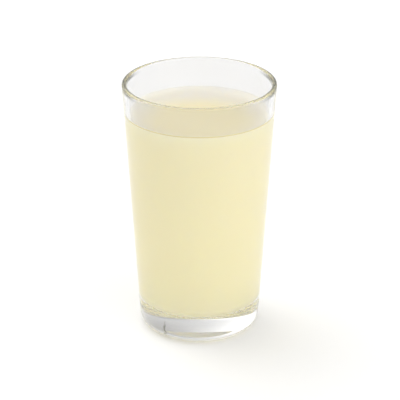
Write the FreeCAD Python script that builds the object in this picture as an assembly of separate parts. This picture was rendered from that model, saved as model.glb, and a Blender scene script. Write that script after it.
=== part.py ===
import FreeCAD, Part
import math
import os

# Lemonade in a tapered drinking tumbler with a heavy base. Millimetres,
# +Z up, origin at the middle of the resting ring. Both pieces are round,
# so each is drawn as one half section and turned about Z.

# tumbler, outside
height = 130.0
rim_diameter = 76.0
foot_diameter = 60.6          # outer taper carried on down to the table
lip_radius = 1.2              # full round on the drinking edge
heel_radius = 5.8             # round between side and underside

# tumbler, inside
wall_at_neck = 2.55           # wall where the inner face turns a little steeper
neck_depth = 14.0             # how far below the drinking edge that is
wall_at_floor = 3.4
floor_thickness = 13.9        # solid glass under the drink
corner_radius = 5.0           # inner bottom corner

# underside
push_up = 1.0                 # rise of the shallow dome in the middle
ring_width = 1.4              # flat ring the tumbler stands on

# lemonade
edge_level = 115.1            # where the drink meets the wall
edge_rise = 3.0               # how far it climbs above its flat surface
edge_curve = 4.8              # radius of that climb

QUARTER = math.pi / 2.0
lip_z = height - lip_radius
neck_z = height - neck_depth
outer_slope = (rim_diameter - foot_diameter) / 2.0 / lip_z


def outer_radius(z):
    """Radius of the outer taper at height z."""
    return foot_diameter / 2.0 + outer_slope * z


floor_radius = outer_radius(floor_thickness) - wall_at_floor
neck_radius = outer_radius(neck_z) - wall_at_neck
inner_slope = (neck_radius - floor_radius) / (neck_z - floor_thickness)


def inner_radius(z):
    """Radius of the straight part of the inner wall at height z."""
    return floor_radius + inner_slope * (z - floor_thickness)


def point(r, z):
    """Point of the half section at radius r and height z."""
    return FreeCAD.Vector(r, 0.0, z)


def on_circle(centre, radius, angle):
    """Point on a circle of the half section, angle in radians from +X."""
    return centre + point(radius * math.cos(angle), radius * math.sin(angle))


def through(start, middle, end):
    """Arc through three points of the half section."""
    return Part.Arc(start, middle, end).toShape()


def arc(centre, radius, start, end):
    """Arc of the half section between two angles."""
    return through(*[on_circle(centre, radius, a) for a in (start, (start + end) / 2.0, end)])


def ends(piece):
    """First and last point of a piece of outline, an edge or a point."""
    if isinstance(piece, FreeCAD.Vector):
        return piece, piece
    return piece.valueAt(piece.FirstParameter), piece.valueAt(piece.LastParameter)


def turned(outline):
    """Solid turned about Z from edges and points, joined by straight lines."""
    edges = [piece for piece in outline if not isinstance(piece, FreeCAD.Vector)]
    for before, after in zip(outline[-1:] + outline[:-1], outline):
        start, end = ends(before)[1], ends(after)[0]
        if start.distanceToPoint(end) > 1e-6:
            edges.append(Part.makeLine(start, end))
    face = Part.Face(Part.Wire(Part.__sortEdges__(edges)))
    return face.revolve(FreeCAD.Vector(0, 0, 0), FreeCAD.Vector(0, 0, 1), 360)


def round_in_wall(radius, wall_radius, slope, z):
    """Centre, at height z, of a round that touches a tapered wall from inside."""
    return point(wall_radius - radius * math.hypot(1.0, slope), z)


lip_centre = point(rim_diameter / 2.0 - lip_radius, lip_z)
heel_centre = round_in_wall(heel_radius, outer_radius(heel_radius), outer_slope, heel_radius)
corner_z = floor_thickness + corner_radius
corner_centre = round_in_wall(corner_radius, inner_radius(corner_z), inner_slope, corner_z)


def inner_corner():
    """Rounded inner bottom corner, from the wall down to the floor."""
    return arc(corner_centre, corner_radius, -math.atan(inner_slope), -QUARTER)


def underside():
    """Shallow dome from the axis out to the resting ring."""
    edge = heel_centre.x - ring_width
    return through(point(0, push_up), point(edge / 2.0, push_up * 0.75), point(edge, 0))


def make_tumbler():
    """Tapered glass: domed underside, round heel, round lip, thick floor."""
    lean = math.atan(outer_slope)
    heel = arc(heel_centre, heel_radius, -QUARTER, -lean)
    lip = arc(lip_centre, lip_radius, -lean, math.pi)
    neck = point(neck_radius, neck_z)
    return turned([underside(), heel, lip, neck, inner_corner(), point(0, floor_thickness)])


def make_lemonade():
    """Drink up to its level, curling up where it wets the wall."""
    surface_z = edge_level - edge_rise
    sweep = math.acos(1.0 - edge_rise / edge_curve)
    centre = point(inner_radius(edge_level) - edge_curve * math.sin(sweep), surface_z + edge_curve)
    curl = arc(centre, edge_curve, -QUARTER, sweep - QUARTER)
    return turned([point(0, surface_z), curl, inner_corner(), point(0, floor_thickness)])


os.makedirs("parts", exist_ok=True)
for name, shape in (("tumbler", make_tumbler()), ("lemonade", make_lemonade())):
    shape.exportStep("parts/" + name + ".step")
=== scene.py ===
import math

import bmesh
import bpy
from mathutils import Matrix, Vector


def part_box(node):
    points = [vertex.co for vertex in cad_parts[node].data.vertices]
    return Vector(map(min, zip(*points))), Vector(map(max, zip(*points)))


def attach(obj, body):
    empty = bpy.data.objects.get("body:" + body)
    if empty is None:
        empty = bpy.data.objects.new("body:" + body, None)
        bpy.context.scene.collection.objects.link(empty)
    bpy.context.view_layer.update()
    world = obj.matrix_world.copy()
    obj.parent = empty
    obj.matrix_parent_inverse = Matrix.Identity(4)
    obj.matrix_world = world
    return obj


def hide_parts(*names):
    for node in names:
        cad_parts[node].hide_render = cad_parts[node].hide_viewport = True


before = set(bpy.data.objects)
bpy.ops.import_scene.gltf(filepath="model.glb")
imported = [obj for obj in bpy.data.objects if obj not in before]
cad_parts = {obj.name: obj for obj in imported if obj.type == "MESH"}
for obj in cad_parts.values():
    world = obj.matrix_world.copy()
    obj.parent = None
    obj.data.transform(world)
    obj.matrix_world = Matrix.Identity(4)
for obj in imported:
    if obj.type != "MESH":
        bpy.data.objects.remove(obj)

# A tumbler of cloudy lemonade. Metres, +Z up, origin in the middle of the
# ring the glass stands on. Both pieces are turned shapes: a half section is
# drawn from the sizes below and spun about Z.

MM = 0.001
QUARTER = math.pi / 2.0

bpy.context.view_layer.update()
GLASS_LOW, GLASS_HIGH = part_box("tumbler")
DRINK_LOW, DRINK_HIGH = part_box("lemonade")

# tumbler
HEIGHT = GLASS_HIGH[2]
RIM_RADIUS = (GLASS_HIGH[0] - GLASS_LOW[0]) / 2.0
FOOT_RADIUS = 30.3 * MM           # outer taper carried on down to the table
LIP = 1.2 * MM                    # full round on the drinking edge
HEEL = 5.8 * MM                   # round between side and underside
NECK_DEPTH = 14.0 * MM            # below the edge, where the inner face turns a little steeper
NECK_WALL = 2.55 * MM             # wall at that depth
FLOOR_WALL = 3.4 * MM             # wall at the floor
FLOOR = DRINK_LOW[2]              # top of the solid glass under the drink
CORNER = 5.0 * MM                 # inner bottom corner
PUSH_UP = 1.0 * MM                # rise of the shallow dome in the underside
RING_WIDTH = 1.4 * MM             # flat ring the tumbler stands on

# lemonade
EDGE_LEVEL = DRINK_HIGH[2]        # where the drink meets the wall
EDGE_RISE = 3.0 * MM              # how far it climbs above its flat surface
EDGE_REACH = 9.0 * MM             # how far in from the wall the climb still shows
EDGE_FALL = 2.1 * MM              # distance over which it falls to about a third
INTO_WALL = 0.12 * MM             # the drink's skin lies just inside the glass
CRISP = 0.05 * MM                 # a ring this far down keeps the fill line's edge from shading soft

# steps along the stretches of the half sections, and round the axis
DOME_STEPS = 24
ROUND_STEPS = 20                  # heel and inner corner
OUTER_STEPS = 40
LIP_STEPS = 28
NECK_STEPS = 8
WALL_STEPS = 32
FLOOR_STEPS = 12
LEVEL_STEPS = 10                  # flat middle of the drink's surface
CLIMB_STEPS = 36
CLIMB_CROWDING = 1.6              # above 1 it gathers those steps towards the wall
SEGMENTS = 256

WELD = 0.002 * MM                 # joins the points on the axis, and the first round to the last

OUTER_SLOPE = (RIM_RADIUS - FOOT_RADIUS) / (HEIGHT - LIP)


def outer_radius(z):
    """Radius of the outer taper at height z."""
    return FOOT_RADIUS + OUTER_SLOPE * z


NECK_Z = HEIGHT - NECK_DEPTH
NECK_RADIUS = outer_radius(NECK_Z) - NECK_WALL
FLOOR_RADIUS = outer_radius(FLOOR) - FLOOR_WALL
INNER_SLOPE = (NECK_RADIUS - FLOOR_RADIUS) / (NECK_Z - FLOOR)


def inner_radius(z):
    """Radius of the straight part of the inner wall at height z."""
    return FLOOR_RADIUS + INNER_SLOPE * (z - FLOOR)


# ---------------------------------------------------------------- sections

def arc(centre, radius, start, end, steps):
    """Points (r, z) on an arc between two angles, both ends included."""
    turn = (end - start) / steps
    angles = [start + turn * i for i in range(steps + 1)]
    return [(centre[0] + radius * math.cos(a), centre[1] + radius * math.sin(a)) for a in angles]


def line(start, end, steps):
    """Points strictly between two ends of a straight stretch."""
    shares = [i / steps for i in range(1, steps)]
    return [(start[0] + (end[0] - start[0]) * s, start[1] + (end[1] - start[1]) * s) for s in shares]


def round_in_wall(radius, wall_radius, slope, z):
    """Centre, at height z, of a round that touches a tapered wall from inside."""
    return (wall_radius - radius * math.hypot(1.0, slope), z)


HEEL_CENTRE = round_in_wall(HEEL, outer_radius(HEEL), OUTER_SLOPE, HEEL)
LIP_CENTRE = (RIM_RADIUS - LIP, HEIGHT - LIP)
CORNER_CENTRE = round_in_wall(CORNER, inner_radius(FLOOR + CORNER), INNER_SLOPE, FLOOR + CORNER)


def underside():
    """Shallow dome from the axis out to the ring."""
    edge = HEEL_CENTRE[0] - RING_WIDTH
    shares = [i / DOME_STEPS for i in range(DOME_STEPS + 1)]
    return [(edge * s, PUSH_UP * (1.0 - s * s)) for s in shares]


def neck():
    """Straight inner face from the lip down to where the wall turns a little steeper."""
    start = (LIP_CENTRE[0] - LIP, LIP_CENTRE[1])
    return line(start, (NECK_RADIUS, NECK_Z), NECK_STEPS)


def inner_corner(grow):
    """Rounded inner corner from the wall down to the floor, grown outwards."""
    return arc(CORNER_CENTRE, CORNER + grow, -math.atan(INNER_SLOPE), -QUARTER, ROUND_STEPS)


def tumbler_section():
    """Half section of the glass, from the underside's middle round to the floor's."""
    lean = math.atan(OUTER_SLOPE)
    heel = arc(HEEL_CENTRE, HEEL, -QUARTER, -lean, ROUND_STEPS)
    lip = arc(LIP_CENTRE, LIP, -lean, math.pi, LIP_STEPS)
    corner = inner_corner(0.0)
    wall_start = (NECK_RADIUS, NECK_Z)
    outside = heel + line(heel[-1], lip[0], OUTER_STEPS) + lip
    inside = neck() + [wall_start] + line(wall_start, corner[0], WALL_STEPS) + corner
    floor = line(corner[-1], (0.0, FLOOR), FLOOR_STEPS) + [(0.0, FLOOR)]
    return underside() + outside + inside + floor


def climb(distance):
    """How far the drink stands above its flat surface, that far from the wall."""
    gone = math.exp(-EDGE_REACH / EDGE_FALL)
    return EDGE_RISE * (math.exp(-distance / EDGE_FALL) - gone) / (1.0 - gone)


def open_surface():
    """The drink's surface, level in the middle and climbing to the wall."""
    surface_z = EDGE_LEVEL - EDGE_RISE
    wall_top = inner_radius(EDGE_LEVEL)
    middle = (0.0, surface_z)
    surface = [middle] + line(middle, (wall_top - EDGE_REACH, surface_z), LEVEL_STEPS)
    for i in range(CLIMB_STEPS + 1):
        distance = EDGE_REACH * (1.0 - i / CLIMB_STEPS) ** CLIMB_CROWDING
        surface.append((wall_top - distance, surface_z + climb(distance)))
    return surface


def skin():
    """The drink's sides and base, just inside the glass, from the edge down to the middle."""
    skin_top = (inner_radius(EDGE_LEVEL) + INTO_WALL, EDGE_LEVEL)
    hold = (inner_radius(EDGE_LEVEL - CRISP) + INTO_WALL, EDGE_LEVEL - CRISP)
    corner = inner_corner(INTO_WALL)
    middle = (0.0, FLOOR - INTO_WALL)
    side = [skin_top, hold] + line(hold, corner[0], WALL_STEPS) + corner
    return side + line(corner[-1], middle, FLOOR_STEPS) + [middle]


# ---------------------------------------------------------------- nodes

def node(tree, kind, inputs=None, **settings):
    """Adds a node, sets its properties, then links or sets its inputs by name or number."""
    made = tree.nodes.new(kind)
    for name, value in settings.items():
        setattr(made, name, value)
    for key, value in (inputs or {}).items():
        socket = made.inputs[key]
        if isinstance(value, bpy.types.NodeSocket):
            tree.links.new(value, socket)
        else:
            socket.default_value = value
    return made


def maths(tree, operation, first, second=0.0):
    """Result of a Math node."""
    return node(tree, "ShaderNodeMath", {0: first, 1: second}, operation=operation).outputs[0]


def z_of(tree, vector):
    """Z part of a place or a direction."""
    return node(tree, "ShaderNodeSeparateXYZ", {0: vector}).outputs["Z"]


def reach_along(tree, vector, aim):
    """How far a vector reaches along a unit vector."""
    made = node(tree, "ShaderNodeVectorMath", {0: vector, 1: aim}, operation="DOT_PRODUCT")
    return made.outputs["Value"]


# ---------------------------------------------------------------- turning

OPEN_MARK = "open_surface"        # 1 on the drink's open surface, 0 elsewhere
ALL_OPEN = 0.99                   # a face averages more than this only if all its corners are marked
HALF_STEP = 0.5                   # keeps a whole number from rounding down to the one below


def open_mark(tree):
    """The mark that tells the drink's open surface from the rest."""
    return node(tree, "GeometryNodeInputNamedAttribute", {"Name": OPEN_MARK}, data_type="FLOAT").outputs[0]


def sampled(tree, geometry, value, index, kind):
    """A value read from the point of a geometry that has that index."""
    sample = node(tree, "GeometryNodeSampleIndex", data_type=kind, domain="POINT", clamp=True)
    tree.links.new(geometry, sample.inputs["Geometry"])
    tree.links.new(value, sample.inputs["Value"])
    tree.links.new(index, sample.inputs["Index"])
    return sample.outputs[0]


def turning_tree():
    """Node tree that spins a half section, given as points (r, 0, z), about Z."""
    tree = bpy.data.node_groups.new("turn_about_axis", "GeometryNodeTree")
    face = tree.interface
    face.new_socket("Section", in_out="INPUT", socket_type="NodeSocketGeometry")
    face.new_socket("Segments", in_out="INPUT", socket_type="NodeSocketInt")
    face.new_socket("Weld", in_out="INPUT", socket_type="NodeSocketFloat")
    face.new_socket("Finish", in_out="INPUT", socket_type="NodeSocketMaterial")
    face.new_socket("Surface Finish", in_out="INPUT", socket_type="NodeSocketMaterial")
    face.new_socket("Turned", in_out="OUTPUT", socket_type="NodeSocketGeometry")
    given = tree.nodes.new("NodeGroupInput").outputs
    size = node(tree, "GeometryNodeAttributeDomainSize", {"Geometry": given["Section"]})
    columns = maths(tree, "ADD", given["Segments"], 1.0)
    grid = node(tree, "GeometryNodeMeshGrid", {
        "Vertices X": size.outputs["Point Count"], "Vertices Y": columns})
    index = node(tree, "GeometryNodeInputIndex").outputs[0]
    row = maths(tree, "FLOOR", maths(tree, "DIVIDE", maths(tree, "ADD", index, HALF_STEP), columns))
    column = maths(tree, "SUBTRACT", index, maths(tree, "MULTIPLY", row, columns))
    position = node(tree, "GeometryNodeInputPosition").outputs[0]
    drawn = sampled(tree, given["Section"], position, row, "FLOAT_VECTOR")
    place = node(tree, "ShaderNodeSeparateXYZ", {0: drawn}).outputs
    angle = maths(tree, "DIVIDE", maths(tree, "MULTIPLY", column, 2.0 * math.pi), given["Segments"])
    x = maths(tree, "MULTIPLY", place["X"], maths(tree, "COSINE", angle))
    y = maths(tree, "MULTIPLY", place["X"], maths(tree, "SINE", angle))
    spun = node(tree, "ShaderNodeCombineXYZ", {"X": x, "Y": y, "Z": place["Z"]}).outputs[0]
    moved = node(tree, "GeometryNodeSetPosition", {"Geometry": grid.outputs["Mesh"], "Position": spun})
    marked = node(tree, "GeometryNodeStoreNamedAttribute", {
        "Geometry": moved.outputs[0], "Name": OPEN_MARK,
        "Value": sampled(tree, given["Section"], open_mark(tree), row, "FLOAT")},
        data_type="FLOAT", domain="POINT")
    welded = node(tree, "GeometryNodeMergeByDistance", {
        "Geometry": marked.outputs[0], "Distance": given["Weld"]})
    smooth = node(tree, "GeometryNodeSetShadeSmooth", {"Geometry": welded.outputs[0], "Shade Smooth": True})
    real = node(tree, "GeometryNodeRealizeInstances", {"Geometry": smooth.outputs[0]})
    dressed = node(tree, "GeometryNodeSetMaterial", {
        "Geometry": real.outputs[0], "Material": given["Finish"]})
    topped = node(tree, "GeometryNodeSetMaterial", {
        "Geometry": dressed.outputs[0],
        "Selection": maths(tree, "GREATER_THAN", open_mark(tree), ALL_OPEN),
        "Material": given["Surface Finish"]})
    tree.links.new(topped.outputs[0], tree.nodes.new("NodeGroupOutput").inputs[0])
    return tree


def input_key(tree, name):
    """Identifier of a tree's input, which is how its modifier knows it."""
    return next(item.identifier for item in tree.interface.items_tree if item.name == name)


def turned(name, section, tree, finish, open_points=0, surface_finish=None):
    """A closed mesh piece spun from a half section, whose first points may be an open surface."""
    outline = bpy.data.meshes.new(name + "_section")
    joints = [(i, i + 1) for i in range(len(section) - 1)]
    outline.from_pydata([(r, 0.0, z) for r, z in section], joints, [])
    marks = [1.0 if i < open_points else 0.0 for i in range(len(section))]
    outline.attributes.new(OPEN_MARK, "FLOAT", "POINT").data.foreach_set("value", marks)
    rough = bpy.data.objects.new(name + "_section", outline)
    bpy.context.scene.collection.objects.link(rough)
    lathe = rough.modifiers.new("lathe", "NODES")
    lathe.node_group = tree
    lathe[input_key(tree, "Segments")] = SEGMENTS
    lathe[input_key(tree, "Weld")] = WELD
    lathe[input_key(tree, "Finish")] = finish
    lathe[input_key(tree, "Surface Finish")] = surface_finish or finish
    ready = rough.evaluated_get(bpy.context.evaluated_depsgraph_get())
    mesh = bpy.data.meshes.new_from_object(ready)
    bpy.data.objects.remove(rough)
    bpy.data.meshes.remove(outline)
    shell = bmesh.new()
    shell.from_mesh(mesh)
    bmesh.ops.recalc_face_normals(shell, faces=shell.faces)
    shell.to_mesh(mesh)
    shell.free()
    mesh.name = name
    piece = bpy.data.objects.new(name, mesh)
    bpy.context.scene.collection.objects.link(piece)
    return piece


# ---------------------------------------------------------------- finishes

def blank_material(name):
    """A material with an empty tree, and its output node."""
    made = bpy.data.materials.new(name)
    made.use_nodes = True
    made.node_tree.nodes.clear()
    return made, made.node_tree, made.node_tree.nodes.new("ShaderNodeOutputMaterial")


def object_place(tree):
    """Place on the piece, in the glass's own frame."""
    return node(tree, "ShaderNodeTexCoord").outputs["Object"]


def blend(tree, share, first, second):
    """Colour between two, by a share from 0 to 1."""
    mixed = node(tree, "ShaderNodeMix", {"Factor": share, "A": first, "B": second}, data_type="RGBA")
    return mixed.outputs["Result"]


def rise(tree, value, start, end):
    """Share that goes smoothly from 0 at start to 1 at end."""
    made = node(tree, "ShaderNodeMapRange", {
        "Value": value, "From Min": start, "From Max": end}, interpolation_type="SMOOTHSTEP")
    return made.outputs["Result"]


def noise(tree, place, scale, detail=2.0):
    """Even random variation from 0 to 1, finer the larger the scale."""
    return node(tree, "ShaderNodeTexNoise", {"Vector": place, "Scale": scale, "Detail": detail}).outputs[0]


def radius_from_axis(tree, place):
    """Distance of a place from the glass's axis."""
    level_part = (1.0, 1.0, 0.0)
    flat = node(tree, "ShaderNodeVectorMath", {0: place, 1: level_part}, operation="MULTIPLY").outputs[0]
    return node(tree, "ShaderNodeVectorMath", {0: flat}, operation="LENGTH").outputs["Value"]


# glass
GLASS_TINT = (0.850, 0.848, 0.848, 1.0)
GLASS_IOR = 1.5
GLASS_DEPTH_TINT = (0.70, 0.705, 0.675, 1.0)
GLASS_DEPTH_DENSITY = 5.0         # per metre: the wall stays clear, the rim and base darken a little

RIPPLE_SCALE = 70.0
RIPPLE_DETAIL = 1.5
RIPPLE_STRETCH = (1.0, 1.0, 0.45)    # about twice as tall as wide
RIPPLE_STRENGTH = 0.25
RIPPLE_DEPTH = 0.15 * MM

LIP_PAINTED_SHADE = (0.08, 0.08, 0.055, 1.0)  # painted shade where the rounded lip is looked along, not through
LIP_SHADE_FROM = 2.6 * LIP         # below the rim, where that painted shade begins
LIP_SHADE_FULL = 1.6 * LIP         # and where it is whole
GLANCE_FROM = 0.38                # 0 is looked at squarely, 1 edge on
GLANCE_FULL = 0.70

SEAM_TINT = (0.12, 0.12, 0.10, 1.0)  # the ridge shows as a dark line
SEAM_TURN = math.radians(35.0)    # where the mould closed, round from the front to the left
SEAM_WAVER = 7.0 * MM             # whole range over which it could stray sideways
SEAM_WAVER_SCALE = 260.0
SEAM_WAVER_DETAIL = 1.0
SEAM_WIDTH = 0.7 * MM
SEAM_HEIGHT = 0.3 * MM
SEAM_TOP = 11.0 * MM              # above this the seam is polished away
SEAM_FADE = 1.0 * MM              # it comes up to strength over this much
SEAM_FROM = FOOT_RADIUS - 4.0 * MM   # nearer to the axis than this the glass has none
SEAM_FULL = FOOT_RADIUS - 3.0 * MM


def mould_seam(tree, place):
    """Share of seam, 1 on its ridge: it wavers up the base's side, and there is one opposite."""
    across = (math.cos(SEAM_TURN), -math.sin(SEAM_TURN), 0.0)
    waver = noise(tree, place, SEAM_WAVER_SCALE, SEAM_WAVER_DETAIL)
    strayed = maths(tree, "MULTIPLY", maths(tree, "SUBTRACT", waver, 0.5), SEAM_WAVER)
    distance = maths(tree, "ABSOLUTE", maths(tree, "ADD", reach_along(tree, place, across), strayed))
    ridge = rise(tree, distance, SEAM_WIDTH / 2.0, SEAM_WIDTH / 4.0)
    low = rise(tree, z_of(tree, place), SEAM_TOP, SEAM_TOP - SEAM_FADE)
    outside = rise(tree, radius_from_axis(tree, place), SEAM_FROM, SEAM_FULL)
    return maths(tree, "MULTIPLY", ridge, maths(tree, "MULTIPLY", low, outside))


def clear_glass():
    """Pressed soda-lime glass: faint ripples and seams left by the mould, greyer where it is deep, and
    painted shade on the lip where it is seen edge on.
    """
    made, tree, out = blank_material("tumbler_glass")
    place = object_place(tree)
    stretched = node(tree, "ShaderNodeMapping", {"Vector": place, "Scale": RIPPLE_STRETCH}).outputs[0]
    relief = node(tree, "ShaderNodeBump", {
        "Height": noise(tree, stretched, RIPPLE_SCALE, RIPPLE_DETAIL),
        "Strength": RIPPLE_STRENGTH, "Distance": RIPPLE_DEPTH})
    seam = mould_seam(tree, place)
    seamed = node(tree, "ShaderNodeBump", {
        "Height": seam, "Strength": 1.0, "Distance": SEAM_HEIGHT, "Normal": relief.outputs[0]})
    # painted shade: the lip's colour turns dark where it is seen edge on
    glancing = node(tree, "ShaderNodeLayerWeight", {"Blend": 0.5}).outputs["Facing"]
    on_lip = rise(tree, z_of(tree, place), HEIGHT - LIP_SHADE_FROM, HEIGHT - LIP_SHADE_FULL)
    lip_painted_shade = maths(tree, "MULTIPLY", on_lip, rise(tree, glancing, GLANCE_FROM, GLANCE_FULL))
    tint = blend(tree, seam, blend(tree, lip_painted_shade, GLASS_TINT, LIP_PAINTED_SHADE), SEAM_TINT)
    glass = node(tree, "ShaderNodeBsdfPrincipled", {
        "Base Color": tint, "Roughness": 0.0, "IOR": GLASS_IOR,
        "Transmission Weight": 1.0, "Normal": seamed.outputs[0]})
    depth = node(tree, "ShaderNodeVolumeAbsorption", {
        "Color": GLASS_DEPTH_TINT, "Density": GLASS_DEPTH_DENSITY})
    tree.links.new(glass.outputs[0], out.inputs["Surface"])
    tree.links.new(depth.outputs[0], out.inputs["Volume"])
    return made


# drink; the cloudy pulp varies between the two colours of a pair
PULP_SCALE = 28.0
DRINK_IOR = 1.34
SCATTER_RADIUS = (1.0, 0.9, 0.6)  # red light goes deepest
SCATTER_SCALE = 5.0 * MM

LOW_DRINK = ((0.980, 0.928, 0.690, 1.0), (0.988, 0.936, 0.705, 1.0))     # at the floor, lighter: painted light against the shade low in the glass
HIGH_DRINK = ((0.963, 0.911, 0.698, 1.0), (0.973, 0.921, 0.718, 1.0))    # at the edge
FILL_LINE_PAINTED_SHADE = (0.74, 0.64, 0.30, 1.0)
FILL_LINE = 0.7 * MM              # height of the painted shade, a deeper yellow line, along the drink's edge
FILL_LINE_FULL = 0.6              # share of that height above which it is at its deepest
BASE_PAINTED_LIGHT = (0.995, 0.985, 0.94, 1.0)
BASE_LIGHT_HEIGHT = 1.5 * MM              # how far up the inner corner the drink is painted paler, as painted light

# painted shade: the open surface is darker and yellower than the body
OPEN_DRINK_SHADED = ((0.82, 0.735, 0.45, 1.0), (0.83, 0.745, 0.47, 1.0))
# painted reflection: the surface turns paler towards the wall
OPEN_PAINTED_REFLECTION = (0.80, 0.78, 0.735, 1.0)
YELLOWEST = Vector((0.0, -6.0 * MM, 0.0))      # the surface is yellowest a little in front of the middle
YELLOW_RADIUS = 17.0 * MM         # evenly so out to here
PALE_RADIUS = 44.0 * MM           # and the painted reflection would be whole this far away, past the wall


def cloudiness(tree, place):
    """Slow change of the pulp through the drink."""
    return noise(tree, place, PULP_SCALE)


def lemonade_in_glass():
    """Cloudy pale yellow drink as it shows through the wall, with no gloss of its own, and painted light and
    shade: lighter low down, paler at the base, a deeper yellow line at the edge.
    """
    made, tree, out = blank_material("lemonade_in_glass")
    place = object_place(tree)
    height = z_of(tree, place)
    low = blend(tree, cloudiness(tree, place), *LOW_DRINK)
    high = blend(tree, cloudiness(tree, place), *HIGH_DRINK)
    # painted light: the body is lighter towards the floor
    body = blend(tree, rise(tree, height, FLOOR, EDGE_LEVEL), low, high)
    # painted shade: a deeper yellow line along the top of the drink's side
    edge = rise(tree, height, EDGE_LEVEL - FILL_LINE, EDGE_LEVEL - FILL_LINE_FULL * FILL_LINE)
    edge_shaded = blend(tree, edge, body, FILL_LINE_PAINTED_SHADE)
    # painted light: the drink is paler at its base and up the inner corner
    tone = blend(tree, rise(tree, height, FLOOR + BASE_LIGHT_HEIGHT, FLOOR), edge_shaded, BASE_PAINTED_LIGHT)
    drink = node(tree, "ShaderNodeBsdfPrincipled", {
        "Base Color": tone, "Roughness": 0.5, "IOR": DRINK_IOR, "Specular IOR Level": 0.0,
        "Subsurface Weight": 0.4, "Subsurface Radius": SCATTER_RADIUS, "Subsurface Scale": SCATTER_SCALE})
    tree.links.new(drink.outputs[0], out.inputs["Surface"])
    return made


def lemonade_open():
    """The drink's own surface, wet, with painted shade making it a little greyer than the body and a painted
    reflection making it paler towards the wall.
    """
    made, tree, out = blank_material("lemonade_open")
    place = object_place(tree)
    # painted shade: darker than the body
    middle = blend(tree, cloudiness(tree, place), *OPEN_DRINK_SHADED)
    from_spot = node(tree, "ShaderNodeVectorMath", {0: place, 1: YELLOWEST}, operation="SUBTRACT").outputs[0]
    painted_reflection = rise(tree, radius_from_axis(tree, from_spot), YELLOW_RADIUS, PALE_RADIUS)
    drink = node(tree, "ShaderNodeBsdfPrincipled", {
        "Base Color": blend(tree, painted_reflection, middle, OPEN_PAINTED_REFLECTION), "Roughness": 0.03, "IOR": DRINK_IOR,
        "Subsurface Weight": 0.6, "Subsurface Radius": SCATTER_RADIUS, "Subsurface Scale": SCATTER_SCALE})
    tree.links.new(drink.outputs[0], out.inputs["Surface"])
    return made


CARD_TONES = ((0.96, 0.96, 0.96, 1.0), (0.97, 0.97, 0.97, 1.0))
CARD_GRAIN_SCALE = 300.0


def white_card_finish():
    """Matt white card."""
    made, tree, out = blank_material("white_card")
    grain = noise(tree, object_place(tree), CARD_GRAIN_SCALE)
    card = node(tree, "ShaderNodeBsdfPrincipled", {
        "Base Color": blend(tree, grain, *CARD_TONES), "Roughness": 0.85})
    tree.links.new(card.outputs[0], out.inputs["Surface"])
    return made


# ---------------------------------------------------------------- studio

CARD_HALF = 4.0                   # metres from the middle to each side
FLOOR_GAP = 0.1 * MM              # keeps the ring and the card from sharing a plane

EVEN_WHITE = 0.32                 # the whole white room
WALL_GLOW = 0.75                  # its walls, brightest level with the table
WALL_FADE = 3.0                   # how fast that goes upwards and downwards

# soft lights: strength, degrees round from the back by way of the right and
# degrees up, and how tight the light is
KEY_LIGHT = 2.05                  # high at the back left, which throws the shadow
KEY_PLACE = (310.0, 55.0)
KEY_TIGHTNESS = 6.0
FRONT_LIGHT = 1.15                # low at the front right
FRONT_PLACE = (130.0, 25.0)
FRONT_TIGHTNESS = 3.0

VIEW_DISTANCE = 806.8 * MM
VIEW_ELEVATION = math.radians(24.17)
VIEW_AIM = Vector((0.31 * MM, 0.0, 66.6 * MM))


def lay_floor():
    """A wide white card under the glass."""
    half = CARD_HALF
    z = GLASS_LOW[2] - FLOOR_GAP
    corners = [(-half, -half, z), (half, -half, z), (half, half, z), (-half, half, z)]
    mesh = bpy.data.meshes.new("white_card")
    mesh.from_pydata(corners, [], [(0, 1, 2, 3)])
    mesh.materials.append(white_card_finish())
    card = bpy.data.objects.new("white_card", mesh)
    bpy.context.scene.collection.objects.link(card)


def towards(azimuth, elevation):
    """Unit vector, by degrees round from the back by way of the right, and degrees up."""
    round_from_back, up = math.radians(azimuth), math.radians(elevation)
    level = math.cos(up)
    return Vector((level * math.sin(round_from_back), level * math.cos(round_from_back), math.sin(up)))


def soft_light(tree, direction, aim, tightness, strength):
    """A round light with soft edges in the surroundings, smaller the tighter it is."""
    facing = reach_along(tree, direction, aim)
    lobe = maths(tree, "POWER", maths(tree, "MAXIMUM", facing, 0.0), tightness)
    return maths(tree, "MULTIPLY", lobe, strength)


def surroundings(tree):
    """Brightness of the white room in each direction."""
    direction = node(tree, "ShaderNodeTexCoord").outputs["Generated"]
    up = z_of(tree, direction)
    level = maths(tree, "SUBTRACT", 1.0, maths(tree, "MULTIPLY", up, up))
    walls = maths(tree, "MULTIPLY", maths(tree, "POWER", level, WALL_FADE), WALL_GLOW)
    key = soft_light(tree, direction, towards(*KEY_PLACE), KEY_TIGHTNESS, KEY_LIGHT)
    front = soft_light(tree, direction, towards(*FRONT_PLACE), FRONT_TIGHTNESS, FRONT_LIGHT)
    room = maths(tree, "ADD", walls, EVEN_WHITE)
    return maths(tree, "ADD", room, maths(tree, "ADD", key, front))


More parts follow.
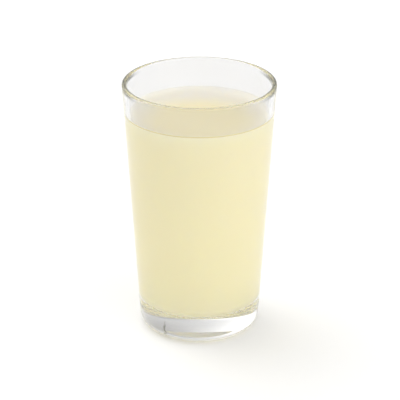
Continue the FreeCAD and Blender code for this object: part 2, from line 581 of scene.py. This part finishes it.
def light_studio():
    """White surroundings with two soft lights, which the camera itself sees as plain white."""
    world = bpy.data.worlds.new("studio")
    bpy.context.scene.world = world
    world.use_nodes = True
    tree = world.node_tree
    tree.nodes.clear()
    out = tree.nodes.new("ShaderNodeOutputWorld")
    ray = node(tree, "ShaderNodeLightPath").outputs["Is Camera Ray"]
    white = (1.0, 1.0, 1.0, 1.0)
    seen = node(tree, "ShaderNodeBackground", {"Color": white, "Strength": 1.0})
    around = node(tree, "ShaderNodeBackground", {"Color": white, "Strength": surroundings(tree)})
    both = node(tree, "ShaderNodeMixShader", {0: ray, 1: around.outputs[0], 2: seen.outputs[0]})
    tree.links.new(both.outputs[0], out.inputs["Surface"])


def let_light_through():
    """Enough bounces for light to pass through the walls and the drink's edge."""
    paths = bpy.context.scene.cycles
    paths.max_bounces = 32
    paths.transmission_bounces = 32
    paths.glossy_bounces = 16
    paths.diffuse_bounces = 8
    paths.blur_glossy = 0.0


def set_camera():
    """Looks down a little on the glass from the front."""
    lens = bpy.data.cameras.new("camera")
    lens.sensor_width = 36.0
    lens.lens = 144.0
    lens.clip_end = 50.0
    back_and_up = Vector((0.0, -math.cos(VIEW_ELEVATION), math.sin(VIEW_ELEVATION)))
    eye = bpy.data.objects.new("camera", lens)
    eye.location = VIEW_AIM + VIEW_DISTANCE * back_and_up
    eye.rotation_euler = (QUARTER - VIEW_ELEVATION, 0.0, 0.0)
    bpy.context.scene.collection.objects.link(eye)
    bpy.context.scene.camera = eye


def main():
    """Makes both pieces, the studio and the camera."""
    tree = turning_tree()
    glass = turned("clear_tumbler", tumbler_section(), tree, clear_glass())
    surface = open_surface()
    drink = turned("cloudy_drink", surface + skin(), tree,
                   lemonade_in_glass(), len(surface), lemonade_open())
    for piece, cad_node, slot in ((glass, "tumbler", "clear_glass"), (drink, "lemonade", "lemonade")):
        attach(piece, "root")
        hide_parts(cad_node)
    lay_floor()
    light_studio()
    let_light_through()
    set_camera()
    bpy.context.scene.view_settings.view_transform = "Standard"


main()
